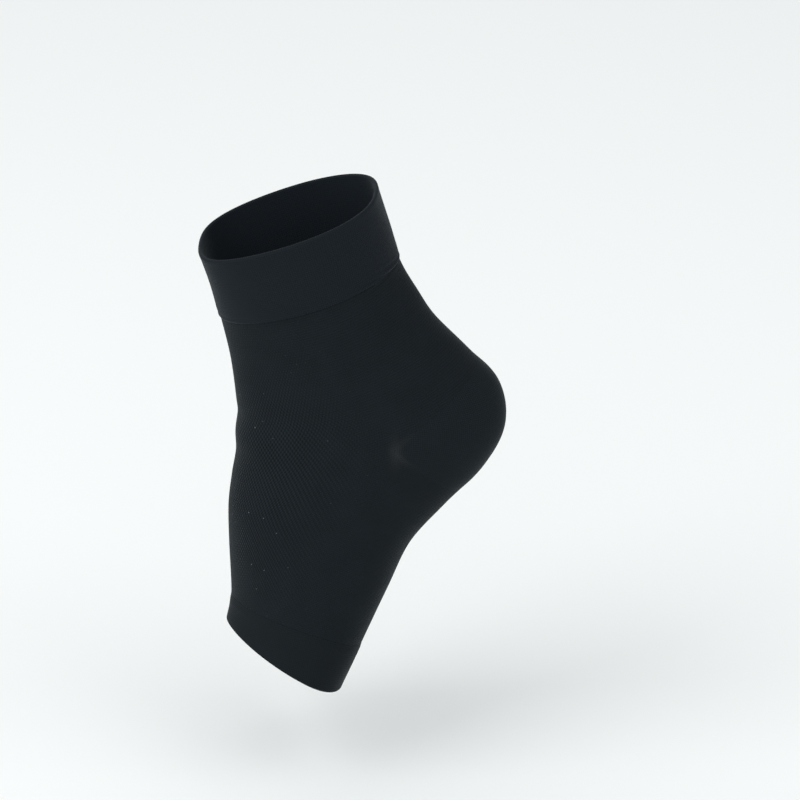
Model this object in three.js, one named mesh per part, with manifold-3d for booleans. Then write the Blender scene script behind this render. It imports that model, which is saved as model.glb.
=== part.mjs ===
// Foot and ankle compression sleeve: a knitted tube, open at the leg end and at the toe end,
// kept in the form that it is worn in, stretched and bent at the ankle.
// The origin is the ankle centre, where the lines of the sleeve's leg and foot cross.
// +Z is up, +X points to the heel pocket and -Y to the outer side. Sizes in millimetres.

import * as THREE from "three";
import { mergeVertices } from "three/addons/utils/BufferGeometryUtils.js";
import Module from "manifold-3d";

const wasm = await Module();
wasm.setup();

// How the sleeve's leg and foot lie. Leans are degrees off the upright, in their plane.
const LEG_LEAN = 20;
const FOOT_LEAN = 17;
// The foot's toe end turns towards the outer side by this many degrees.
const TOE_OUT = 8;

// Lengths along the sleeve, from the ankle centre to the middle of each opening.
const LEG_LENGTH = 91;
const FOOT_LENGTH = 120;

// Front to back depths and side to side widths of the hollow inside the sleeve.
const LEG_DEPTH = 76;
const LEG_WIDTH = 70;
const HEEL_DEPTH = 114;
const ANKLE_WIDTH = 66;
const FOOT_DEPTH = 56;
const FOOT_WIDTH = 76;

// Depths of the two finished ends.
const CUFF_DEPTH = 33;
const BAND_DEPTH = 18;
// The toe band is deeper by this much at the sides than over the instep.
const BAND_SIDE_RISE = 4;

// Cloth thicknesses. The cuff is folded double, the toe band is a single turned hem.
const CUFF_WALL = 1.8;
const BODY_WALL = 1.0;
const HEEL_WALL = 1.2;
const BAND_WALL = 1.4;

// Room left between neighbouring pieces along each seam.
const SEAM_GAP = 0.3;

// The heel pocket reaches this far forward of its own back, to a rounded point on each side.
const HEEL_REACH = 47;
const HEEL_POINT_RADIUS = 2;
// Tilts of its upper and lower seams, in degrees, off the section that its back lies on.
const HEEL_UPPER_TILT = 34;
const HEEL_LOWER_TILT = 46;
// That section's place among the table's rows below, from the first (0) to the last (1).
const HEEL_SHARE = 0.523;

// How finely the cloth is drawn.
const STEPS_AROUND = 44;
const STEPS_PER_SECTION = 3;
const STEPS_ROUND_EDGE = 4;
const STEPS_ROUND_POINT = 8;

const RADIANS = Math.PI / 180;
// Step in angle and in station over which slopes are measured.
const SLOPE_STEP = 0.001;
const HALVINGS = 40;
const MERGE_DISTANCE = 0.00001;

// Sections of the sleeve from the leg opening to the toe opening. A station is a row number here.
// up and down: where the section crosses the line of the leg or the foot,
//   shares of LEG_LENGTH and FOOT_LENGTH.
// turn: share of the bend from the leg's direction to the foot's.
// front, back, widest: reach forward, reach backward and place of the widest line behind the
//   crossing, shares of the depth of the row's part of the sleeve.
// outer, inner: reach to each side, shares of the width of that part.
// frontFill, backFill: how blunt the front and back ends are. 2 is an ellipse, less is keener.
// Every end is rounded off by TIP_SOFTNESS, a share of the section's width.
const COLUMNS = [
  "limb", "up", "down", "turn", "front", "back", "widest", "outer", "inner", "frontFill", "backFill",
];
const SECTIONS = [
  ["leg", 1.00, 0.00, 0.05, 0.510, 0.485, 0.000, 0.500, 0.485, 3.50, 2.80],
  ["leg", 0.81, 0.00, 0.05, 0.530, 0.475, 0.000, 0.450, 0.450, 2.60, 2.20],
  ["leg", 0.62, 0.00, 0.04, 0.565, 0.465, 0.000, 0.415, 0.420, 1.75, 1.65],
  ["leg", 0.45, 0.00, 0.04, 0.595, 0.495, 0.000, 0.415, 0.420, 1.75, 1.65],
  ["ankle", 0.30, 0.00, 0.10, 0.420, 0.360, 0.000, 0.455, 0.455, 2.00, 1.80],
  ["ankle", 0.15, 0.00, 0.24, 0.445, 0.435, -0.012, 0.490, 0.480, 2.20, 1.85],
  ["ankle", 0.02, 0.00, 0.37, 0.470, 0.505, -0.034, 0.505, 0.500, 2.30, 1.85],
  ["ankle", 0.00, 0.10, 0.50, 0.452, 0.550, -0.013, 0.505, 0.500, 2.30, 1.90],
  ["ankle", 0.00, 0.21, 0.62, 0.418, 0.510, 0.003, 0.500, 0.500, 2.20, 2.00],
  ["foot", 0.00, 0.33, 0.72, 0.815, 0.835, 0.036, 0.430, 0.430, 2.00, 2.20],
  ["foot", 0.00, 0.47, 0.82, 0.765, 0.650, 0.068, 0.430, 0.450, 1.85, 2.40],
  ["foot", 0.00, 0.64, 0.95, 0.670, 0.580, 0.090, 0.435, 0.455, 1.70, 2.60],
  ["foot", 0.00, 0.86, 1.10, 0.535, 0.510, 0.130, 0.430, 0.450, 1.60, 2.50],
  ["foot", 0.00, 1.00, 1.38, 0.520, 0.465, 0.120, 0.465, 0.480, 1.60, 2.20],
];
const TIP_SOFTNESS = 0.25;
const LIMB_SIZES = {
  leg: { depth: LEG_DEPTH, width: LEG_WIDTH },
  ankle: { depth: HEEL_DEPTH, width: ANKLE_WIDTH },
  foot: { depth: FOOT_DEPTH, width: FOOT_WIDTH },
};

// One row of the table turned into millimetres, with its tilt and its toe-out turn in radians.
function measuredSection(row) {
  const share = Object.fromEntries(COLUMNS.map((name, index) => [name, row[index]]));
  const limb = LIMB_SIZES[share.limb];
  return {
    up: share.up * LEG_LENGTH,
    down: share.down * FOOT_LENGTH,
    tilt: (LEG_LEAN - share.turn * (LEG_LEAN + FOOT_LEAN)) * RADIANS,
    toeOut: share.turn * TOE_OUT * RADIANS,
    front: share.front * limb.depth,
    back: share.back * limb.depth,
    widest: share.widest * limb.depth,
    outer: share.outer * limb.width,
    inner: share.inner * limb.width,
    frontFill: share.frontFill,
    backFill: share.backFill,
  };
}

const sections = SECTIONS.map(measuredSection);
const LAST_STATION = sections.length - 1;

// A row past either end of the table carries on in a straight line.
function rowValue(row, name) {
  if (row < 0) {
    return 2 * sections[0][name] - sections[1][name];
  }
  if (row > LAST_STATION) {
    return 2 * sections[LAST_STATION][name] - sections[LAST_STATION - 1][name];
  }
  return sections[row][name];
}

// The section at any station, by a Catmull-Rom curve through each column.
function sectionAt(station) {
  const row = Math.min(Math.max(Math.floor(station), 0), LAST_STATION - 1);
  const t = station - row;
  const section = {};
  for (const name of Object.keys(sections[0])) {
    const [a, b, c, d] = [row - 1, row, row + 1, row + 2].map((index) => rowValue(index, name));
    const bend = 2 * a - 5 * b + 4 * c - d;
    const twist = 3 * b - a - 3 * c + d;
    section[name] = 0.5 * (2 * b + (c - a) * t + bend * t * t + twist * t * t * t);
  }
  return section;
}

const ACROSS = new THREE.Vector3(0, 1, 0);
const LEG_UP = new THREE.Vector3(
  -Math.sin(LEG_LEAN * RADIANS),
  0,
  Math.cos(LEG_LEAN * RADIANS),
);
const FOOT_DOWN = new THREE.Vector3(
  -Math.sin(FOOT_LEAN * RADIANS) * Math.cos(TOE_OUT * RADIANS),
  -Math.sin(TOE_OUT * RADIANS),
  -Math.cos(FOOT_LEAN * RADIANS) * Math.cos(TOE_OUT * RADIANS),
);

// Where a section crosses the sleeve's line, and its directions to the back, across and down.
function frameAt(section) {
  const down = new THREE.Vector3(Math.sin(section.tilt), 0, -Math.cos(section.tilt));
  return {
    centre: new THREE.Vector3()
      .addScaledVector(LEG_UP, section.up)
      .addScaledVector(FOOT_DOWN, section.down),
    toBack: new THREE.Vector3(Math.cos(section.tilt), 0, Math.sin(section.tilt)),
    across: new THREE.Vector3()
      .addScaledVector(ACROSS, Math.cos(section.toeOut))
      .addScaledVector(down, Math.sin(section.toeOut)),
    down,
  };
}

// A point of the cloth's inside face. The angle runs from the back (0) by the outer side
// (a quarter turn) and the front (a half turn) to the inner side.
function skinPoint(angle, station) {
  const section = sectionAt(station);
  const frame = frameAt(section);
  const backward = Math.cos(angle);
  const outward = Math.sin(angle);
  const reach = backward >= 0 ? section.back - section.widest : section.front + section.widest;
  const fill = backward >= 0 ? section.backFill : section.frontFill;
  const width = outward >= 0 ? section.outer : section.inner;
  const softened = (outward ** 2 + TIP_SOFTNESS ** 2) / (1 + TIP_SOFTNESS ** 2);
  const side = -width * outward * softened ** (1 / fill - 1 / 2);
  return frame.centre
    .addScaledVector(frame.toBack, section.widest + reach * backward)
    .addScaledVector(frame.across, side);
}

// A point of the cloth, lifted off the inside face and slid down it by so many millimetres.
function clothPoint(angle, station, lift, slide) {
  const around = skinPoint(angle + SLOPE_STEP, station).sub(skinPoint(angle - SLOPE_STEP, station));
  const along = skinPoint(angle, station + SLOPE_STEP)
    .sub(skinPoint(angle, station - SLOPE_STEP))
    .normalize();
  const outward = around.cross(along).normalize();
  return skinPoint(angle, station)
    .addScaledVector(outward, lift)
    .addScaledVector(along, slide);
}

// The station at which a named length along the leg or the foot is reached.
function stationAt(name, length) {
  const rising = rowValue(LAST_STATION, name) > rowValue(0, name);
  let low = 0;
  let high = LAST_STATION;
  for (let halving = 0; halving < HALVINGS; halving += 1) {
    const middle = (low + high) / 2;
    const before = rising ? sectionAt(middle)[name] < length : sectionAt(middle)[name] > length;
    if (before) {
      low = middle;
    } else {
      high = middle;
    }
  }
  return (low + high) / 2;
}

// The outline of a wall from its upper edge (0) to its lower edge (1): down the outside, round
// the lower edge, up the inside and round the upper edge. Each end may stand back a little.
function wallOutline(steps, wall, backFrom, backTo) {
  const half = wall / 2;
  const outline = [];
  const face = (lift) => {
    const points = [];
    for (let step = 0; step <= steps; step += 1) {
      let slide = 0;
      if (step === 0) {
        slide = backFrom + half;
      }
      if (step === steps) {
        slide = -backTo - half;
      }
      points.push({ down: step / steps, lift, slide });
    }
    return points;
  };
  outline.push(...face(wall));
  for (let step = 1; step < STEPS_ROUND_EDGE; step += 1) {
    const angle = (Math.PI * step) / STEPS_ROUND_EDGE;
    const slide = -backTo - half + half * Math.sin(angle);
    outline.push({ down: 1, lift: half + half * Math.cos(angle), slide });
  }
  outline.push(...face(0).reverse());
  for (let step = 1; step < STEPS_ROUND_EDGE; step += 1) {
    const angle = (Math.PI * step) / STEPS_ROUND_EDGE;
    const slide = backFrom + half - half * Math.sin(angle);
    outline.push({ down: 0, lift: half - half * Math.cos(angle), slide });
  }
  return outline;
}

// A closed tube of cloth: the wall's outline carried right round the hollow, between two edges
// that are given as stations for each angle.
function tubeGeometry(upperEdge, lowerEdge, wall, backFrom, backTo) {
  const columns = [];
  for (let step = 0; step < STEPS_AROUND; step += 1) {
    const angle = (2 * Math.PI * step) / STEPS_AROUND;
    columns.push({ angle, from: upperEdge(angle), to: lowerEdge(angle) });
  }
  const span = Math.max(...columns.map(({ from, to }) => to - from));
  const steps = Math.max(2, Math.ceil(span * STEPS_PER_SECTION));
  const outline = wallOutline(steps, wall, backFrom, backTo);
  const positions = [];
  const faces = [];
  for (const { down, lift, slide } of outline) {
    for (const { angle, from, to } of columns) {
      positions.push(...clothPoint(angle, from + (to - from) * down, lift, slide).toArray());
    }
  }
  for (let ring = 0; ring < outline.length; ring += 1) {
    const here = ring * STEPS_AROUND;
    const next = ((ring + 1) % outline.length) * STEPS_AROUND;
    for (let step = 0; step < STEPS_AROUND; step += 1) {
      const after = (step + 1) % STEPS_AROUND;
      faces.push(here + step, here + after, next + after);
      faces.push(here + step, next + after, next + step);
    }
  }
  const geometry = new THREE.BufferGeometry();
  geometry.setAttribute("position", new THREE.Float32BufferAttribute(positions, 3));
  geometry.setIndex(faces);
  return geometry;
}

// The wedge, rounded at its point, that parts the heel pocket from the body. It runs right
// across the ankle, and the pocket's own wedge stands back by the seam's gap on all sides.
function heelWedge(standBack) {
  const section = sectionAt(HEEL_SHARE * LAST_STATION);
  const frame = frameAt(section);
  const radius = HEEL_POINT_RADIUS - standBack;
  const middle = section.back - HEEL_REACH + HEEL_POINT_RADIUS;
  const upper = HEEL_UPPER_TILT * RADIANS;
  const lower = HEEL_LOWER_TILT * RADIANS;
  const quarter = Math.PI / 2;
  const armPoint = (direction, tangent, length) => [
    middle + radius * Math.cos(tangent) + length * Math.cos(direction),
    radius * Math.sin(tangent) + length * Math.sin(direction),
  ];
  const shape = new THREE.Shape();
  shape.moveTo(...armPoint(upper, upper + quarter, HEEL_DEPTH));
  shape.lineTo(...armPoint(upper, upper + quarter, 0));
  shape.absarc(middle, 0, radius, upper + quarter, 2 * Math.PI - lower - quarter, false);
  shape.lineTo(...armPoint(-lower, -lower - quarter, HEEL_DEPTH));
  const geometry = new THREE.ExtrudeGeometry(shape, {
    depth: 2 * ANKLE_WIDTH,
    bevelEnabled: false,
    curveSegments: STEPS_ROUND_POINT,
  });
  const up = frame.down.clone().negate();
  const placing = new THREE.Matrix4().makeBasis(frame.toBack, up, ACROSS.clone().negate());
  placing.setPosition(frame.centre.clone().addScaledVector(ACROSS, ANKLE_WIDTH));
  return geometry.applyMatrix4(placing);
}

// A closed mesh as a solid that can be cut, and back again.
function toSolid(geometry) {
  const bare = geometry.clone();
  bare.deleteAttribute("normal");
  bare.deleteAttribute("uv");
  const merged = mergeVertices(bare, MERGE_DISTANCE);
  return new wasm.Manifold(
    new wasm.Mesh({
      numProp: 3,
      vertProperties: Float32Array.from(merged.getAttribute("position").array),
      triVerts: Uint32Array.from(merged.getIndex().array),
    }),
  );
}

function toGeometry(solid) {
  const { vertProperties, triVerts } = solid.getMesh();
  const geometry = new THREE.BufferGeometry();
  geometry.setAttribute("position", new THREE.BufferAttribute(vertProperties, 3));
  geometry.setIndex(new THREE.BufferAttribute(triVerts, 1));
  return geometry;
}

function clothMesh(name, geometry, color) {
  geometry.computeVertexNormals();
  const material = new THREE.MeshStandardMaterial({ color, roughness: 0.9, metalness: 0 });
  const mesh = new THREE.Mesh(geometry, material);
  mesh.name = name;
  return mesh;
}

const cuffStation = stationAt("up", LEG_LENGTH - CUFF_DEPTH);
const halfGap = SEAM_GAP / 2;

// The pieces' edges. The toe band's upper edge rises towards both sides of the foot.
const legEdge = () => 0;
const cuffEdge = () => cuffStation;
const bandEdge = (angle) => {
  const rise = BAND_SIDE_RISE * Math.sin(angle) ** 2;
  return stationAt("down", FOOT_LENGTH - BAND_DEPTH - rise);
};
const toeEdge = () => LAST_STATION;

const cuffTube = tubeGeometry(legEdge, cuffEdge, CUFF_WALL, 0, halfGap);
const bodyTube = tubeGeometry(cuffEdge, bandEdge, BODY_WALL, halfGap, halfGap);
const heelTube = tubeGeometry(cuffEdge, bandEdge, HEEL_WALL, halfGap, halfGap);
const bandTube = tubeGeometry(bandEdge, toeEdge, BAND_WALL, halfGap, 0);

const body = toSolid(bodyTube).subtract(toSolid(heelWedge(0)));
const heel = toSolid(heelTube).intersect(toSolid(heelWedge(SEAM_GAP)));

const group = new THREE.Group();
group.add(
  clothMesh("top_cuff", cuffTube, "#1e2528"),
  clothMesh("knit_body", toGeometry(body), "#1d2225"),
  clothMesh("heel_pocket", toGeometry(heel), "#1f2427"),
  clothMesh("toe_band", bandTube, "#1c2124"),
);

export default group;
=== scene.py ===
"""Open-toed compression sleeve for foot and ankle, in black knit, in the form it has when worn."""

import math

import bpy
import numpy as np
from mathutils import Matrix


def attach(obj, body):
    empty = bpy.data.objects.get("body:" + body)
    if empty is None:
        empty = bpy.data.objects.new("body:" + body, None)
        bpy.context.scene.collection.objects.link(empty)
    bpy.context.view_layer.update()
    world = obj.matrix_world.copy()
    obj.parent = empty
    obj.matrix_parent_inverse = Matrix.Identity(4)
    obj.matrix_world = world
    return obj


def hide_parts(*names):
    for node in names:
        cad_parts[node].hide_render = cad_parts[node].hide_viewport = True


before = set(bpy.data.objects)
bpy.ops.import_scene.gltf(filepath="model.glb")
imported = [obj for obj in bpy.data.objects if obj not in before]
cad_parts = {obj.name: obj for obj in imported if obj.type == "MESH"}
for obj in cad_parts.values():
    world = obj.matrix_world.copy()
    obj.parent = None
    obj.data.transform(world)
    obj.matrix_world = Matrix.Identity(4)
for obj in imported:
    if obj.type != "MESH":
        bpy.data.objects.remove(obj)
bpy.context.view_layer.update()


# Top cuff. A welt of fine plain knit in nylon and elastane, folded double so that its upper
# edge is a soft fold, and linked to the tube all along its lower edge. It holds the sleeve up.

FULL_TURN = 2 * math.pi
# How the sleeve's leg and foot lie, in degrees, and the lengths, depths and widths in
# millimetres of the hollow inside them.
LEG_LEAN = 20
FOOT_LEAN = 17
TOE_OUT = 8
LEG_LENGTH = 91
FOOT_LENGTH = 120
HOLLOW_SIZES = {"leg": (76, 70), "ankle": (114, 66), "foot": (56, 76)}
# Sections from the leg opening to the toe opening. The shares are of the leg's length, of the
# foot's length, of the bend from leg to foot, of the hollow's depth three times (front, back and
# widest line) and of its width twice (outer, inner). The last two say how blunt front and back
# are: 2 is an ellipse.
SECTIONS = [
    ("leg", 1.00, 0.00, 0.05, 0.510, 0.485, 0.000, 0.500, 0.485, 3.50, 2.80),
    ("leg", 0.81, 0.00, 0.05, 0.530, 0.475, 0.000, 0.450, 0.450, 2.60, 2.20),
    ("leg", 0.62, 0.00, 0.04, 0.565, 0.465, 0.000, 0.415, 0.420, 1.75, 1.65),
    ("leg", 0.45, 0.00, 0.04, 0.595, 0.495, 0.000, 0.415, 0.420, 1.75, 1.65),
    ("ankle", 0.30, 0.00, 0.10, 0.420, 0.360, 0.000, 0.455, 0.455, 2.00, 1.80),
    ("ankle", 0.15, 0.00, 0.24, 0.445, 0.435, -0.012, 0.490, 0.480, 2.20, 1.85),
    ("ankle", 0.02, 0.00, 0.37, 0.470, 0.505, -0.034, 0.505, 0.500, 2.30, 1.85),
    ("ankle", 0.00, 0.10, 0.50, 0.452, 0.550, -0.013, 0.505, 0.500, 2.30, 1.90),
    ("ankle", 0.00, 0.21, 0.62, 0.418, 0.510, 0.003, 0.500, 0.500, 2.20, 2.00),
    ("foot", 0.00, 0.33, 0.72, 0.815, 0.835, 0.036, 0.430, 0.430, 2.00, 2.20),
    ("foot", 0.00, 0.47, 0.82, 0.765, 0.650, 0.068, 0.430, 0.450, 1.85, 2.40),
    ("foot", 0.00, 0.64, 0.95, 0.670, 0.580, 0.090, 0.435, 0.455, 1.70, 2.60),
    ("foot", 0.00, 0.86, 1.10, 0.535, 0.510, 0.130, 0.430, 0.450, 1.60, 2.50),
    ("foot", 0.00, 1.00, 1.38, 0.520, 0.465, 0.120, 0.465, 0.480, 1.60, 2.20),
]
LAST_STATION = len(SECTIONS) - 1
# How softly the cloth rounds the hollow's keen front and back, as a share of its width.
TIP_SOFTNESS = 0.25
SLOPE_STEP = 0.002  # In angle and in station.


def measured(row):
    """One row in millimetres: each share times the length, depth or width that it is of."""
    part, up, down, turn, front, back, widest, outer, inner, front_fill, back_fill = row
    depth, width = HOLLOW_SIZES[part]
    lengths = [up * LEG_LENGTH, down * FOOT_LENGTH, turn]
    reaches = [front * depth, back * depth, widest * depth, outer * width, inner * width]
    return lengths + reaches + [front_fill, back_fill]


rows = np.array([measured(row) for row in SECTIONS])
rows = np.vstack([2 * rows[0] - rows[1], rows, 2 * rows[-1] - rows[-2]])


def section_at(station):
    """Catmull-Rom curve through each column of the table, at t between rows b and c: half of
    2b + (c - a)t + (2a - 5b + 4c - d)t2 + (3b - a - 3c + d)t3. One array for each column."""
    row = np.clip(np.floor(station).astype(int), 0, LAST_STATION - 1)
    t = (station - row)[..., None]
    a, b, c, d = rows[row], rows[row + 1], rows[row + 2], rows[row + 3]
    bend = 2 * a - 5 * b + 4 * c - d
    twist = 3 * b - a - 3 * c + d
    values = 0.5 * (2 * b + (c - a) * t + bend * t**2 + twist * t**3)
    return np.moveaxis(values, -1, 0)


def frame_at(station):
    """Centre of a section and its directions to the back, across the sleeve and down it. The
    tilt goes from the leg's lean to the foot's, and the toe end turns to the outer side."""
    up, down, turn = section_at(station)[:3]
    tilt = np.radians(LEG_LEAN - turn * (LEG_LEAN + FOOT_LEAN))
    toe_out = np.radians(turn * TOE_OUT)
    leg, foot, out = (math.radians(angle) for angle in (LEG_LEAN, FOOT_LEAN, TOE_OUT))
    leg_up = np.array([-math.sin(leg), 0, math.cos(leg)])
    foot_down = -np.array(
        [math.sin(foot) * math.cos(out), math.sin(out), math.cos(foot) * math.cos(out)]
    )
    level = np.zeros_like(tilt)
    to_back = np.stack([np.cos(tilt), level, np.sin(tilt)], -1)
    downward = np.stack([np.sin(tilt), level, -np.cos(tilt)], -1)
    across = np.cos(toe_out)[..., None] * np.array([0, 1, 0])
    across = across + np.sin(toe_out)[..., None] * downward
    return up[..., None] * leg_up + down[..., None] * foot_down, to_back, across, downward


def inside_face(angle, station):
    """Point of the cloth's inside face: the section's centre, plus widest + reach cos(angle)
    to the back, less width sin(angle) ((sin2(angle) + softness2) / (1 + softness2))^(1/fill -
    1/2) across."""
    angle, station = np.broadcast_arrays(angle, station)
    section = section_at(station)
    front, back, widest, outer, inner, front_fill, back_fill = section[3:]
    centre, to_back, across, _ = frame_at(station)
    backward, outward = np.cos(angle), np.sin(angle)
    reach = np.where(backward >= 0, back - widest, front + widest)
    fill = np.where(backward >= 0, back_fill, front_fill)
    width = np.where(outward >= 0, outer, inner)
    softened = (outward**2 + TIP_SOFTNESS**2) / (1 + TIP_SOFTNESS**2)
    side = width * outward * softened ** (1 / fill - 0.5)
    depth = widest + reach * backward
    return centre + depth[..., None] * to_back - side[..., None] * across


# Angles at which each share of the way round is reached, so that the stitches are spread evenly.
table_stations = np.linspace(0, LAST_STATION, 261)
table_shares = np.linspace(0, 1, 481)
fine_angles = np.linspace(0, FULL_TURN, 1921)
rings = inside_face(fine_angles[None, :], table_stations[:, None])
walked = np.cumsum(np.linalg.norm(np.diff(rings, axis=1), axis=2), axis=1)
girths = walked[:, -1]
walked = np.hstack([np.zeros((len(walked), 1)), walked / girths[:, None]])
angle_table = np.array([np.interp(table_shares, ring, fine_angles) for ring in walked])


def angle_at(share, station):
    """Angle at a share of the way round, between the four nearest entries of the table."""
    share, station = np.broadcast_arrays(share, station)
    turns = np.floor(share)
    x = (share - turns) * (len(table_shares) - 1)
    y = np.clip(station / LAST_STATION, 0, 1) * (len(table_stations) - 1)
    i = np.minimum(x.astype(int), len(table_shares) - 2)
    j = np.minimum(y.astype(int), len(table_stations) - 2)
    x, y = x - i, y - j
    upper = angle_table[j, i] * (1 - x) + angle_table[j, i + 1] * x
    lower = angle_table[j + 1, i] * (1 - x) + angle_table[j + 1, i + 1] * x
    return upper * (1 - y) + lower * y + turns * FULL_TURN


def cloth(share, station, lift):
    """Point lifted off the inside face along its normal, which is the slope around the sleeve
    crossed with the slope down it."""
    angle = angle_at(share, station)
    around = inside_face(angle + SLOPE_STEP, station) - inside_face(angle - SLOPE_STEP, station)
    along = inside_face(angle, station + SLOPE_STEP) - inside_face(angle, station - SLOPE_STEP)
    normal = np.cross(around, along)
    normal /= np.linalg.norm(normal, axis=-1, keepdims=True)
    return inside_face(angle, station) + lift[..., None] * normal


def station_where(column, length):
    """Station at which the length up the leg (0) or down the foot (1) is reached. The leg's
    sections lie above station 5 and the foot's below station 6."""
    stations = np.linspace(0, LAST_STATION, 5201)
    reached = section_at(stations)[column]
    if column == 0:
        keep = stations < 5
        return np.interp(-length, -reached[keep], stations[keep])
    keep = stations > 6
    return np.interp(length, reached[keep], stations[keep])


# Rows of a piece lie close together near its edges, at these distances in millimetres.
EDGE_ROWS = np.array([0, 0.04, 0.13, 0.28, 0.5, 0.75, 1.0, 1.3, 1.7, 2.2, 2.8])


def cloth_speed(share, station):
    """Millimetres down the cloth for each station."""
    angle = angle_at(share, station)
    step = inside_face(angle, station) - inside_face(angle, station - SLOPE_STEP)
    return np.linalg.norm(step, axis=-1) / SLOPE_STEP


def rows_between(share, upper, lower, middle_rows):
    """Stations of the rows from an upper to a lower edge: the edge distances divided by the
    cloth's speed at that edge, and even steps between them."""
    first = upper + EDGE_ROWS[:, None] / cloth_speed(share, upper)
    last = lower - EDGE_ROWS[::-1, None] / cloth_speed(share, lower)
    steps = np.linspace(0, 1, middle_rows + 2)[1:-1, None]
    return np.vstack([first, first[-1] + (last[0] - first[-1]) * steps, last])


def length_down(share, station):
    """Length walked down each column of a grid from its first row."""
    points = cloth(share, station, np.zeros(station.shape))
    steps = np.linalg.norm(np.diff(points, axis=0), axis=2)
    return np.vstack([np.zeros(points.shape[1]), np.cumsum(steps, axis=0)])


def half_wall(distance, wall, rounding):
    """Half thickness at a distance from an edge: wall/2 sqrt(1 - (1 - distance/rounding)2)."""
    inner = np.clip(distance / rounding, 0, 1)
    return wall / 2 * np.sqrt(1 - (1 - inner) ** 2)


def bead(distance, place, width, height):
    """A rounded ridge: height exp(-((distance - place)/width)2)."""
    return height * np.exp(-(((distance - place) / width) ** 2))


STITCH_SCALE = 250  # The map's second number is a length in parts of 250 mm.


def make_piece(name, patches, marks):
    """Mesh of patches (points, around, down, marks, turned in), whose equal points are joined.
    A quad that has shrunk to a triangle at a seam's end loses its double corner."""
    points, quads, maps, values = [], [], [], []
    start = 0
    for grid, around, down, marked, turned_in in patches:
        row_count, column_count = grid.shape[:2]
        index = start + np.arange(row_count * column_count).reshape(row_count, column_count)
        corners = [index[:-1, :-1], index[:-1, 1:], index[1:, 1:], index[1:, :-1]]
        if turned_in:
            corners.reverse()
        quads.append(np.stack(corners, -1).reshape(-1, 4))
        points.append(grid.reshape(-1, 3))
        maps.append(np.stack([around, down / STITCH_SCALE], -1).reshape(-1, 2))
        values.append(np.stack(marked, -1).reshape(-1, len(marks)))
        start += row_count * column_count
    points, quads, maps = np.vstack(points), np.vstack(quads), np.vstack(maps)
    keys = np.round(points * 1e4).astype(np.int64)
    _, first, joined = np.unique(keys, axis=0, return_index=True, return_inverse=True)
    joined = joined.reshape(-1)
    corner = joined[quads]
    double = corner == np.roll(corner, -1, axis=1)
    whole = double.sum(1) == 0
    triangles = []
    triangle_sources = []
    for place in range(4):
        chosen = (double.sum(1) == 1) & double[:, place]
        kept = [side for side in range(4) if side != place]
        triangles.append(corner[chosen][:, kept])
        triangle_sources.append(quads[chosen][:, kept])
    triangles, triangle_sources = np.vstack(triangles), np.vstack(triangle_sources)
    mesh = bpy.data.meshes.new(name)
    faces = corner[whole].tolist() + triangles.tolist()
    mesh.from_pydata((points[first] / 1000).tolist(), [], faces)
    sources = np.concatenate([quads[whole].reshape(-1), triangle_sources.reshape(-1)])
    mesh.uv_layers.new(name="stitches").data.foreach_set("uv", maps[sources].reshape(-1))
    values = np.vstack(values)[first]
    for column, mark in enumerate(marks):
        attribute = mesh.attributes.new(mark, "FLOAT", "POINT")
        attribute.data.foreach_set("value", np.ascontiguousarray(values[:, column]))
    mesh.polygons.foreach_set("use_smooth", np.ones(len(mesh.polygons), dtype=bool))
    mesh.update()
    piece = bpy.data.objects.new(name, mesh)
    bpy.context.scene.collection.objects.link(piece)
    return piece


def linear(hex_colour):
    """sRGB hex colour as linear numbers with an alpha of 1."""
    channels = [int(hex_colour[place : place + 2], 16) / 255 for place in (1, 3, 5)]
    return [c / 12.92 if c <= 0.04045 else ((c + 0.055) / 1.055) ** 2.4 for c in channels] + [1]


def add_node(tree, kind, settings=None, links=None):
    """Adds a node and sets its properties. Each input gets a value, an output, or another
    node's first output."""
    node = tree.nodes.new(kind)
    for name, value in (settings or {}).items():
        setattr(node, name, value)
    for name, value in (links or {}).items():
        if isinstance(value, bpy.types.Node):
            value = value.outputs[0]
        if isinstance(value, bpy.types.NodeSocket):
            tree.links.new(value, node.inputs[name])
        else:
            node.inputs[name].default_value = value
    return node


# Shares of the stitches' height: of the wales and the courses, of the net, of the rows that the
# net closes up to, and of what the plain stitches keep under the net.
WALE_SHARE, COURSE_SHARE = 0.22, 0.28
NET_SHARE, CLOSED_SHARE, UNDER_NET_SHARE = 0.42, 0.16, 0.2
# Uneven dye take-up and stretch: the size of its patches in metres, and its share of the shade.
PATCH_SIZE = 0.0125
UNEVEN_SHARE = 0.2
# Pale specks lie scattered on the open net: one speck, more or less pale, to twenty squares.
MEAN_GIRTH = 240
SPECK_SQUARE, SPECK_RADIUS = 4, 0.26
SQUARES_PER_SPECK = 20


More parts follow.
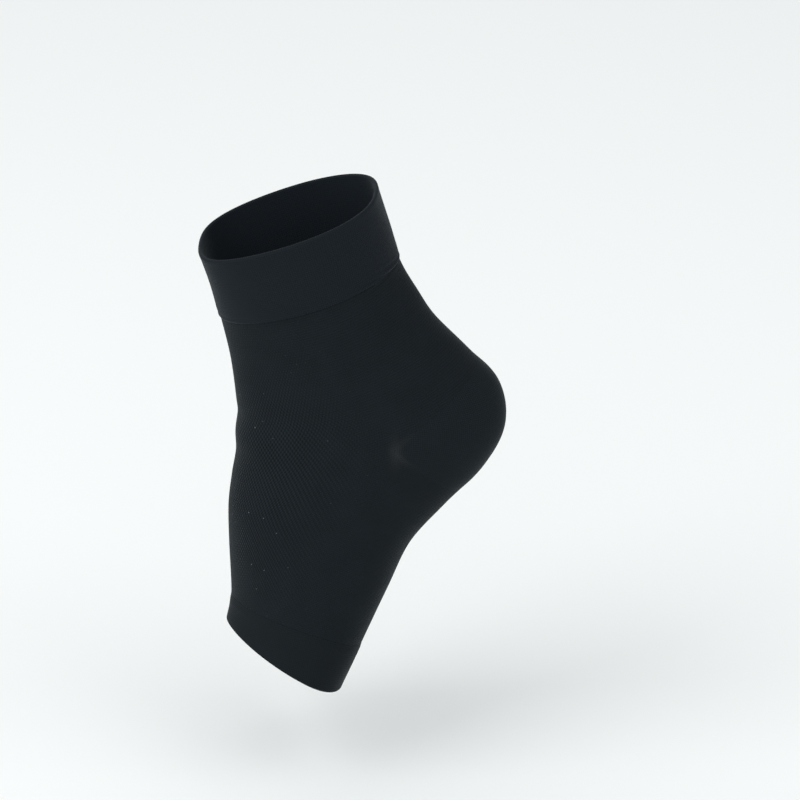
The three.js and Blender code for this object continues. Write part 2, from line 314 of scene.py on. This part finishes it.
def knit_material(name, thread, shaded_hollow, wales, course_mm, relief_mm, sheen, net_cells=None):
    """Knitted cloth, matt, with a faint sheen from its fuzz. Plain knit is rows of V stitches:
    the height is half, plus shares of cos(course), which lags by half a course from the middle
    of a wale to its edge, and of cos(wale). wales is their number all the way round.
    net_cells = (cells around, cell height in mm) lays a net of small diamonds over it,
    cos(around) cos(down), which closes up to faint rows, cos(2 down), where the mark net falls
    to 0."""
    material = bpy.data.materials.new(name)
    material.use_nodes = True
    tree = material.node_tree
    shader = tree.nodes["Principled BSDF"]
    maths, mix, two_colours = "ShaderNodeMath", "ShaderNodeMix", {"data_type": "RGBA"}
    times, plus = {"operation": "MULTIPLY"}, {"operation": "ADD"}
    times_plus, cosine = {"operation": "MULTIPLY_ADD"}, {"operation": "COSINE"}
    place = add_node(tree, "ShaderNodeUVMap", {"uv_map": "stitches"})
    axes = add_node(tree, "ShaderNodeSeparateXYZ", None, {0: place})
    around, down = axes.outputs["X"], axes.outputs["Y"]
    # The real plain stitches are half as wide, too fine to show, and are drawn this coarse.
    wale = add_node(tree, maths, times, {0: around, 1: FULL_TURN * wales})
    lag = add_node(tree, maths, {"operation": "PINGPONG"}, {0: wale, 1: math.pi})
    per_map = FULL_TURN * STITCH_SCALE
    course = add_node(tree, maths, times_plus, {0: down, 1: per_map / course_mm, 2: lag})
    crown = add_node(tree, maths, cosine, {0: wale})
    stitch = add_node(tree, maths, cosine, {0: course})
    height = add_node(tree, maths, times_plus, {0: crown, 1: WALE_SHARE, 2: 0.5})
    height = add_node(tree, maths, times_plus, {0: stitch, 1: COURSE_SHARE, 2: height})
    if net_cells:
        cells, cell_mm = net_cells
        turned = add_node(tree, maths, times, {0: around, 1: FULL_TURN * cells})
        fallen = add_node(tree, maths, times, {0: down, 1: per_map / cell_mm})
        twice = add_node(tree, maths, times, {0: fallen, 1: 2.0})
        columns = add_node(tree, maths, cosine, {0: turned})
        levels = add_node(tree, maths, cosine, {0: fallen})
        diamonds = add_node(tree, maths, times, {0: columns, 1: levels})
        lines = add_node(tree, maths, cosine, {0: twice})
        closed = add_node(tree, maths, times, {0: lines, 1: CLOSED_SHARE})
        net = add_node(tree, "ShaderNodeAttribute", {"attribute_name": "net"}).outputs["Fac"]
        cell = add_node(tree, mix, None, {"Factor": net, "A": closed, "B": diamonds})
        under_net = {0: height, 1: UNDER_NET_SHARE, 2: 0.5 * (1 - UNDER_NET_SHARE)}
        height = add_node(tree, maths, times_plus, under_net)
        height = add_node(tree, maths, times_plus, {0: cell, 1: NET_SHARE, 2: height})
    where = add_node(tree, "ShaderNodeTexCoord").outputs["Object"]
    in_patches = {"Vector": where, "Scale": 1 / PATCH_SIZE, "Detail": 3.0}
    patches = add_node(tree, "ShaderNodeTexNoise", None, in_patches).outputs["Fac"]
    centred = {0: patches, 1: UNEVEN_SHARE, 2: -UNEVEN_SHARE / 2}
    uneven = add_node(tree, maths, times_plus, centred)
    # The colour goes from the shaded hollow's in the stitches' low places to the thread's at their
    # tops: painted shade in the hollows, with the uneven dye over it.
    painted_shade_and_dye = add_node(tree, maths, plus, {0: height, 1: uneven})
    ends = {"Factor": painted_shade_and_dye, "A": linear(shaded_hollow), "B": linear(thread)}
    colour = add_node(tree, mix, two_colours, ends).outputs["Result"]
    # Where the cloth is pulled thin at the heel pocket's points, the threads part and it greys.
    thin = add_node(tree, "ShaderNodeAttribute", {"attribute_name": "thin"}).outputs["Fac"]
    ends = {"Factor": thin, "A": colour, "B": linear("#8b8782")}
    colour = add_node(tree, mix, two_colours, ends).outputs["Result"]
    # Small pale specks scattered over the open net, each of its own paleness.
    if net_cells:
        per_square = (MEAN_GIRTH / SPECK_SQUARE, STITCH_SCALE / SPECK_SQUARE, 0)
        squares = add_node(tree, "ShaderNodeVectorMath", times, {0: place, 1: per_square})
        flat = {"voronoi_dimensions": "2D"}
        below, above = {"operation": "LESS_THAN"}, {"operation": "GREATER_THAN"}
        speck_cells = add_node(tree, "ShaderNodeTexVoronoi", flat, {"Vector": squares, "Scale": 1.0})
        reach = {0: speck_cells.outputs["Distance"], 1: SPECK_RADIUS / SPECK_SQUARE}
        near = add_node(tree, maths, below, reach)
        chance = add_node(tree, "ShaderNodeSeparateColor", None, {0: speck_cells.outputs["Color"]})
        few = add_node(tree, maths, above, {0: chance, 1: 1 - 1 / SQUARES_PER_SPECK})
        pale = add_node(tree, maths, times_plus, {0: chance.outputs[1], 1: 0.8, 2: 0.2})
        speck = add_node(tree, maths, times, {0: near, 1: few})
        speck = add_node(tree, maths, times, {0: speck, 1: pale})
        speck = add_node(tree, maths, times, {0: speck, 1: net})
        ends = {"Factor": speck, "A": colour, "B": linear("#636a6e")}
        colour = add_node(tree, mix, two_colours, ends).outputs["Result"]
    tree.links.new(colour, shader.inputs["Base Color"])
    relief = {"Height": height, "Strength": 1.0, "Distance": relief_mm / 1000}
    bump = add_node(tree, "ShaderNodeBump", None, relief)
    tree.links.new(bump.outputs[0], shader.inputs["Normal"])
    shader.inputs["Roughness"].default_value = 0.8
    shader.inputs["IOR"].default_value = 1.5
    shader.inputs["Specular IOR Level"].default_value = 0.06
    shader.inputs["Sheen Weight"].default_value = sheen
    shader.inputs["Sheen Roughness"].default_value = 0.3
    shader.inputs["Sheen Tint"].default_value = linear("#cfd8dc")
    return material


CUFF_DEPTH = 33
CUFF_WALL = 1.8
CUFF_EDGE_WALL = 1.25
CUFF_EDGE_TAPER = 4
# Linked edges are rounded over this distance, and meet a little way into each other.
SEAM_ROUNDING = 0.2
SEAM_BITE = 0.08
WRINKLE_HEIGHT = 0.28
WRINKLE_SPACING = 2.8
WRINKLES_AROUND = 11


def from_back(share):
    """Share of the way round from the middle of the back, on either side."""
    return np.abs(np.mod(share + 0.5, 1) - 0.5)


def creases(share, distance):
    """Small wrinkles along the cuff's linked edge on each side of the back, where the cloth is
    gathered up: height cos(full turn (distance / spacing - number from_back)), fading out by
    two bells, over 6 mm from the edge and over 0.06 of the way round."""
    turned = from_back(share)
    gathered = np.exp(-(((turned - 0.09) / 0.06) ** 2)) * np.exp(-((distance / 6) ** 2))
    waves = np.cos(FULL_TURN * (distance / WRINKLE_SPACING - WRINKLES_AROUND * turned))
    return WRINKLE_HEIGHT * gathered * waves


cuff_edge = station_where(0, LEG_LENGTH - CUFF_DEPTH)
TUBE_COLUMNS = 241
cuff_shares = np.linspace(0, 1, TUBE_COLUMNS)
cuff_rim = np.zeros(TUBE_COLUMNS)
cuff_end = cuff_edge + SEAM_BITE / cloth_speed(cuff_shares, cuff_rim + cuff_edge)
cuff_rows = rows_between(cuff_shares, cuff_rim, cuff_end, middle_rows=34)
cuff_down = length_down(cuff_shares, cuff_rows)
cuff_up = cuff_down[-1] - cuff_down
# The welt is drawn thinner where it is linked, and has its full thickness 4 mm above.
fullness = np.clip(cuff_up / CUFF_EDGE_TAPER, 0, 1)
cuff_wall = CUFF_EDGE_WALL + (CUFF_WALL - CUFF_EDGE_WALL) * fullness
cuff_half = np.minimum(
    half_wall(cuff_down, cuff_wall, CUFF_WALL / 2), half_wall(cuff_up, cuff_wall, SEAM_ROUNDING)
)
cuff_place = np.broadcast_to(cuff_shares, cuff_rows.shape)
# The fold is a little fuller than the cloth under it, and the linked edge has a thin ridge.
cuff_full = bead(cuff_down, place=1.2, width=1.6, height=0.12)
cuff_full = cuff_full + bead(cuff_up, place=1.2, width=0.8, height=0.3)
cuff_full = cuff_full + creases(cuff_shares, cuff_up)
plain_marks = [np.zeros(cuff_rows.shape)]
cuff_patches = [
    (
        cloth(cuff_place, cuff_rows, cuff_wall / 2 + cuff_half + cuff_full * (cuff_half > 0)),
        cuff_place,
        cuff_down,
        plain_marks,
        False,
    ),
    (
        cloth(cuff_place, cuff_rows, cuff_wall / 2 - cuff_half),
        cuff_place,
        cuff_down,
        plain_marks,
        True,
    ),
]
top_cuff = make_piece("cuff_cloth", cuff_patches, ["thin"])
# Fine plain knit of dull nylon in two layers looks smooth and matt, with hardly a stitch to see.
cuff_knit = knit_material(
    "fine_plain_nylon_knit",
    thread="#1f252b",
    shaded_hollow="#161b1f",
    wales=252,
    course_mm=0.9,
    relief_mm=0.06,
    sheen=0.14,
)
top_cuff.data.materials.append(cuff_knit)
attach(top_cuff, "root")
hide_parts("top_cuff")


# Heel pocket. A wedge of smooth plain knit, made by narrowing and widening the rows, so that
# it bulges like a cup. It comes to a rounded point at each side of the sleeve, near its bend.

HEEL_WALL = 1.2
HEEL_REACH = 47
HEEL_POINT_RADIUS = 2
HEEL_UPPER_TILT = math.radians(34)
HEEL_LOWER_TILT = math.radians(46)
HEEL_STATION = np.array(0.523 * LAST_STATION)
# Stations well above and well below the pocket, and those between which its points lie.
ABOVE_HEEL, BELOW_HEEL = 3.0, 11.0
AROUND_HEEL = (4.5, 9.5)

heel_centre, heel_back, _, heel_down = frame_at(HEEL_STATION)
heel_point_middle = section_at(HEEL_STATION)[4] - HEEL_REACH + HEEL_POINT_RADIUS


def from_point(points):
    """Place in the plane across the pocket, from the middle of its rounded point: how far
    towards the back, and how far up."""
    apart = points - heel_centre
    return apart @ heel_back - heel_point_middle, -(apart @ heel_down)


def off_heel(points):
    """Distance outside the pocket's seams, below 0 inside. Before the rounded point it is the
    distance from the point's middle less the radius, and elsewhere that from the nearer arm."""
    x, y = from_point(points)
    upper = -x * math.sin(HEEL_UPPER_TILT) + y * math.cos(HEEL_UPPER_TILT)
    lower = -x * math.sin(HEEL_LOWER_TILT) - y * math.cos(HEEL_LOWER_TILT)
    bearing = np.arctan2(y, -x)
    ahead = (bearing < math.pi / 2 - HEEL_UPPER_TILT) & (bearing > HEEL_LOWER_TILT - math.pi / 2)
    return np.where(ahead, np.hypot(x, y), np.maximum(upper, lower)) - HEEL_POINT_RADIUS


def inside_points(share, station):
    """Point of the inside face at a share of the way round."""
    return inside_face(angle_at(share, station), station)


def point_of_heel(near, far, gap):
    """Share and station of the pocket's point on one side, by 30 halvings between a share that
    meets the pocket and one that passes in front of it."""
    stations = np.linspace(*AROUND_HEEL, 1001)
    for _ in range(30):
        middle = (near + far) / 2
        away = off_heel(inside_points(middle, stations)) + gap
        if away.min() < 0:
            near = middle
        else:
            far = middle
    return near, stations[away.argmin()]


def heel_edge(share, start, end, gap):
    """Stations at which columns cross the pocket's seam, by 40 halvings between outside
    (start) and inside (end)."""
    outside = np.full(share.shape, float(start))
    inside = end.copy()
    for _ in range(40):
        middle = (outside + inside) / 2
        out = off_heel(inside_points(share, middle)) + gap > 0
        outside = np.where(out, middle, outside)
        inside = np.where(out, inside, middle)
    return (outside + inside) / 2


def steps_to_both_ends(count, crowding):
    """Numbers s from -1 to 1, closer together near both: s (1 + crowding - crowding s2)."""
    s = np.linspace(-1, 1, count)
    return s * (1 + crowding - crowding * s**2)


def back_columns(gap, count):
    """Shares of the columns behind the pocket's two points, closer together near them, and the
    stations of the upper and the lower seam there."""
    outer_share, outer_station = point_of_heel(0.05, 0.45, gap)
    inner_share, inner_station = point_of_heel(0.95, 0.55, gap)
    inner_share -= 1
    s = steps_to_both_ends(count, 0.47)
    share = (outer_share + inner_share) / 2 + s * (outer_share - inner_share) / 2
    within = inner_station + (outer_station - inner_station) * (s + 1) / 2
    upper = heel_edge(share, ABOVE_HEEL, within, gap)
    lower = heel_edge(share, BELOW_HEEL, within, gap)
    for edge in (upper, lower):
        edge[0], edge[-1] = inner_station, outer_station
    return share, upper, lower


# How grey the cloth gets at the pocket's points and along the seams that run out from them.
SPOT_GREY, UPPER_SEAM_GREY, LOWER_SEAM_GREY = 0.038, 0.017, 0.026


def seam_glow(x, y, tilt):
    """Faint line down the first 9 mm of the seam at a tilt, which is a bell across it and one
    along it: exp(-(beside / 1.2)2 - ((along - 4) / 5)2)."""
    along = x * math.cos(tilt) + y * math.sin(tilt)
    beside = y * math.cos(tilt) - x * math.sin(tilt) - HEEL_POINT_RADIUS
    return np.exp(-((beside / 1.2) ** 2) - ((along - 4) / 5) ** 2)


def thinness(points):
    """Grey glow at each point of the pocket: a bell about 5 by 10 mm across, upright, of
    exp(-((x + 1.7) / 2.5)2 - ((y + 0.9) / 6)2), and a faint line down each of the two seams."""
    x, y = from_point(points)
    spot = np.exp(-(((x + 1.7) / 2.5) ** 2) - ((y + 0.9) / 6) ** 2)
    lines = UPPER_SEAM_GREY * seam_glow(x, y, HEEL_UPPER_TILT)
    lines = lines + LOWER_SEAM_GREY * seam_glow(x, -y, HEEL_LOWER_TILT)
    return SPOT_GREY * spot + lines


BODY_WALL = 1.0
HEEL_ROUNDING = 0.06
HEEL_MIDDLE_ROW = 48
HEEL_TAPER = 6
heel_shares, heel_upper, heel_lower = back_columns(-SEAM_BITE, 121)
steps_down = 0.5 + 0.5 * steps_to_both_ends(2 * HEEL_MIDDLE_ROW + 1, 0.48)
heel_rows = heel_upper + (heel_lower - heel_upper) * steps_down[:, None]
heel_place = np.broadcast_to(heel_shares, heel_rows.shape)
heel_inside = inside_points(heel_place, heel_rows)
heel_from_seam = SEAM_BITE - off_heel(heel_inside)
# The pocket is as thin as the body at its seams, and has its full thickness 6 mm from them.
heel_wall = BODY_WALL + (HEEL_WALL - BODY_WALL) * np.clip(heel_from_seam / HEEL_TAPER, 0, 1)
heel_half = half_wall(heel_from_seam, heel_wall, HEEL_ROUNDING)
heel_half[0], heel_half[-1], heel_half[:, 0], heel_half[:, -1] = 0, 0, 0, 0
heel_down_length = length_down(heel_place, heel_rows)
# The stitches are counted up and down from the middle row, some way into the map.
HEEL_MAP_MIDDLE = 60
heel_map = heel_down_length - heel_down_length[HEEL_MIDDLE_ROW] + HEEL_MAP_MIDDLE
heel_marks = [thinness(heel_inside)]
heel_around = heel_place - heel_shares[0]
heel_pocket = make_piece(
    "heel_cloth",
    [
        (
            cloth(heel_place, heel_rows, heel_wall / 2 + heel_half),
            heel_around,
            heel_map,
            heel_marks,
            False,
        ),
        (
            cloth(heel_place, heel_rows, heel_wall / 2 - heel_half),
            heel_around,
            heel_map,
            heel_marks,
            True,
        ),
    ],
    ["thin"],
)
# Plain knit of dull nylon, drawn smooth over the bulge: matt, with a soft sheen at its rim.
heel_knit = knit_material(
    "smooth_plain_nylon_knit",
    thread="#1f262a",
    shaded_hollow="#13181b",
    wales=300,
    course_mm=0.9,
    relief_mm=0.06,
    sheen=0.17,
)
heel_pocket.data.materials.append(heel_knit)
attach(heel_pocket, "root")
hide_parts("heel_pocket")


# Knit body. One seamless tube of compression knit, with a net of tiny diamonds over its front
# and sides that closes up to plain lines along the back and the sole. It leaves a wedge free
# for the heel pocket.

BAND_DEPTH = 18
BAND_SIDE_RISE = 4
HEM_ROUNDING = 0.1
NEAR_BAND_EDGE = LAST_STATION - 0.9
# Farther from an edge than any rounding or fading reaches.
FAR_OFF = 99.0


def band_edge_at(share):
    """Station of the toe band's upper edge, which rises by sin2(angle) towards the sides."""
    angle = angle_at(share, np.full(share.shape, NEAR_BAND_EDGE))
    rise = BAND_SIDE_RISE * np.sin(angle) ** 2
    return station_where(1, FOOT_LENGTH - BAND_DEPTH - rise)


back_shares, seam_upper, seam_lower = back_columns(0, 101)
front_steps = steps_to_both_ends(161, 0.45)
front_start, front_end = back_shares[-1], back_shares[0] + 1
front_shares = (front_start + front_end) / 2 + front_steps * (front_end - front_start) / 2
front_line = seam_upper[-1] + (seam_upper[0] - seam_upper[-1]) * (front_steps + 1) / 2
body_shares = np.concatenate([back_shares, front_shares[1:]])
upper_line = np.concatenate([seam_upper, front_line[1:]])
lower_line = np.concatenate([seam_lower, front_line[1:]])
body_top = np.full(body_shares.shape, cuff_edge)
body_end = band_edge_at(body_shares)

body_parts = []
for upper, lower, middle_rows in ((body_top, upper_line, 60), (lower_line, body_end, 60)):
    part_rows = rows_between(body_shares, upper, lower, middle_rows)
    part_place = np.broadcast_to(body_shares, part_rows.shape)
    body_parts.append((part_place, part_rows, length_down(part_place, part_rows)))

# The knit's rows are counted by length down each column from the cuff, and behind the pocket's
# two points they count the length down the pocket too.
rows_above = body_parts[0][2][-1].copy()
pocket_rows = seam_upper + (seam_lower - seam_upper) * np.linspace(0, 1, 61)[:, None]
pocket_place = np.broadcast_to(back_shares, pocket_rows.shape)
rows_above[: len(back_shares)] += length_down(pocket_place, pocket_rows)[-1]
body_patches = []
for number, (part_place, part_rows, part_down) in enumerate(body_parts):
    inside = inside_points(part_place, part_rows)
    far = np.full(part_rows.shape, FAR_OFF)
    from_cuff = part_down if number == 0 else far
    from_band = part_down[-1] - part_down if number == 1 else far
    from_heel = off_heel(inside)
    half = half_wall(from_cuff, BODY_WALL, SEAM_ROUNDING)
    half = np.minimum(half, half_wall(from_band, BODY_WALL, HEM_ROUNDING))
    half = np.minimum(half, half_wall(from_heel, BODY_WALL, HEEL_ROUNDING))
    if number == 0:
        half[0] = 0
        half[-1, : len(back_shares)] = 0
    else:
        half[-1] = 0
        half[0, : len(back_shares)] = 0
    full = 0.5 * creases(part_place, from_cuff)
    around = part_place - body_shares[0]
    level = part_down + number * rows_above
    # The net starts to open at 0.19 of the way round from the back, and is open at 0.43.
    net = np.clip((from_back(part_place) - 0.19) / 0.24, 0, 1)
    # The net is drawn tight next to the cuff and to the toe band, and opens over 50 mm below
    # the one and over 26 mm above the other.
    net = net**2 * (3 - 2 * net) * np.clip(0.3 + level / 75, 0, 1)
    net = net * np.clip(0.35 + from_band / 40, 0, 1)
    marked = [thinness(inside), net]
    outside = cloth(part_place, part_rows, BODY_WALL / 2 + half + full * (half > 0))
    lining = cloth(part_place, part_rows, BODY_WALL / 2 - half)
    body_patches.append((outside, around, level, marked, False))
    body_patches.append((lining, around, level, marked, True))
knit_body = make_piece("body_cloth", body_patches, ["thin", "net"])
# Tuck stitches in nylon and elastane pull the threads into tiny diamonds, whose dark middles
# are partly open mesh and partly painted shade, so that the cloth looks meshed.
body_knit = knit_material(
    "tuck_stitch_compression_knit",
    thread="#232a2f",
    shaded_hollow="#090c0e",
    wales=276,
    course_mm=0.85,
    relief_mm=0.3,
    sheen=0.13,
    net_cells=(170, 2.35),
)
knit_body.data.materials.append(body_knit)
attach(knit_body, "root")
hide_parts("knit_body")


# Toe band. The tube's end is turned up once and stitched down as a hem of plain knit, a little
# deeper at the sides than over the instep and the sole. It leaves the toe end open.

BAND_WALL = 1.4
BAND_TAPER = 3
band_shares = np.linspace(0, 1, TUBE_COLUMNS)
band_start = band_edge_at(band_shares)
band_start = band_start - SEAM_BITE / cloth_speed(band_shares, band_start)
band_rim = np.full(TUBE_COLUMNS, float(LAST_STATION))
band_rows = rows_between(band_shares, band_start, band_rim, middle_rows=16)
band_place = np.broadcast_to(band_shares, band_rows.shape)
band_down = length_down(band_place, band_rows)
band_up = band_down[-1] - band_down
# The hem is as thin as the body at its seam, and has its full thickness 3 mm below.
band_wall = BODY_WALL + (BAND_WALL - BODY_WALL) * np.clip(band_down / BAND_TAPER, 0, 1)
band_half = np.minimum(
    half_wall(band_up, band_wall, BAND_WALL / 2), half_wall(band_down, band_wall, HEM_ROUNDING)
)
band_full = bead(band_up, place=1.0, width=1.2, height=0.1)
band_marks = [np.zeros(band_rows.shape)]
toe_band = make_piece(
    "band_cloth",
    [
        (
            cloth(band_place, band_rows, band_wall / 2 + band_half + band_full * (band_half > 0)),
            band_place,
            band_down,
            band_marks,
            False,
        ),
        (
            cloth(band_place, band_rows, band_wall / 2 - band_half),
            band_place,
            band_down,
            band_marks,
            True,
        ),
    ],
    ["thin"],
)
# A turned hem of plain knit in dull nylon looks smooth and matt, a little flatter than the net.
band_knit = knit_material(
    "turned_hem_plain_knit",
    thread="#1d2327",
    shaded_hollow="#14181b",
    wales=252,
    course_mm=0.9,
    relief_mm=0.06,
    sheen=0.13,
)
toe_band.data.materials.append(band_knit)
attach(toe_band, "root")
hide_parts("toe_band")


# Studio. A pale plain floor just under the toe end, soft light from pale air all round and from
# a large panel at each side, and a long lens that looks down a little at the outer side.

FLOOR_LEVEL = -0.160
FLOOR_RADIUS = 6
FLOOR_SIDES = 96
floor_mesh = bpy.data.meshes.new("studio_floor")
floor_angles = np.linspace(0, FULL_TURN, FLOOR_SIDES + 1)[:-1]
floor_x, floor_y = FLOOR_RADIUS * np.cos(floor_angles), FLOOR_RADIUS * np.sin(floor_angles)
floor_ring = np.stack([floor_x, floor_y, np.full(FLOOR_SIDES, FLOOR_LEVEL)], -1)
floor_mesh.from_pydata(floor_ring.tolist(), [], [list(range(FLOOR_SIDES))])
floor = bpy.data.objects.new("studio_floor", floor_mesh)
bpy.context.scene.collection.objects.link(floor)
# White matt paint shows nothing but the soft shadow.
floor_paint = bpy.data.materials.new("matt_white_floor")
floor_paint.use_nodes = True
floor_shader = floor_paint.node_tree.nodes["Principled BSDF"]
floor_shader.inputs["Base Color"].default_value = linear("#fafbfb")
floor_shader.inputs["Roughness"].default_value = 0.6
floor_mesh.materials.append(floor_paint)

# The air is brighter on the left than on the right.
LEFT_AIR, RIGHT_AIR = 1.17, 0.52
world = bpy.data.worlds.new("studio_air")
world.use_nodes = True
air = world.node_tree
direction = add_node(air, "ShaderNodeTexCoord").outputs["Generated"]
sideways = add_node(air, "ShaderNodeSeparateXYZ", None, {0: direction}).outputs["X"]
across_air = {"Value": sideways, "From Min": -1.0, "From Max": 1.0}
across_air.update({"To Min": LEFT_AIR, "To Max": RIGHT_AIR})
brightness = add_node(air, "ShaderNodeMapRange", None, across_air).outputs[0]
background = air.nodes["Background"]
background.inputs["Color"].default_value = linear("#f4f7f7")
air.links.new(brightness, background.inputs["Strength"])
bpy.context.scene.world = world


def add_panel(name, place, size, power):
    """A square light panel at a place in metres, turned to face the sleeve."""
    light = bpy.data.lights.new(name, "AREA")
    light.size = size
    light.energy = power
    panel = bpy.data.objects.new(name, light)
    bpy.context.scene.collection.objects.link(panel)
    x, y, z = place
    panel.location = place
    panel.rotation_euler = (math.atan2(math.hypot(x, y), z), 0, math.atan2(y, x) + math.pi / 2)


add_panel("left_panel", place=(-1.4, -0.6, 1.5), size=1.2, power=13)
add_panel("right_panel", place=(1.2, -0.5, 1.5), size=1.2, power=5)

CAMERA_ASIDE = 0.015
CAMERA_DISTANCE = 1.3
CAMERA_TILT = math.radians(25)
camera_data = bpy.data.cameras.new("photo_camera")
camera_data.lens = 136
camera_data.sensor_width = 36
camera = bpy.data.objects.new("photo_camera", camera_data)
bpy.context.scene.collection.objects.link(camera)
camera.location = (
    CAMERA_ASIDE,
    -CAMERA_DISTANCE * math.cos(CAMERA_TILT),
    CAMERA_DISTANCE * math.sin(CAMERA_TILT),
)
camera.rotation_euler = (math.pi / 2 - CAMERA_TILT, 0, 0)
bpy.context.scene.camera = camera
bpy.context.scene.view_settings.view_transform = "Standard"
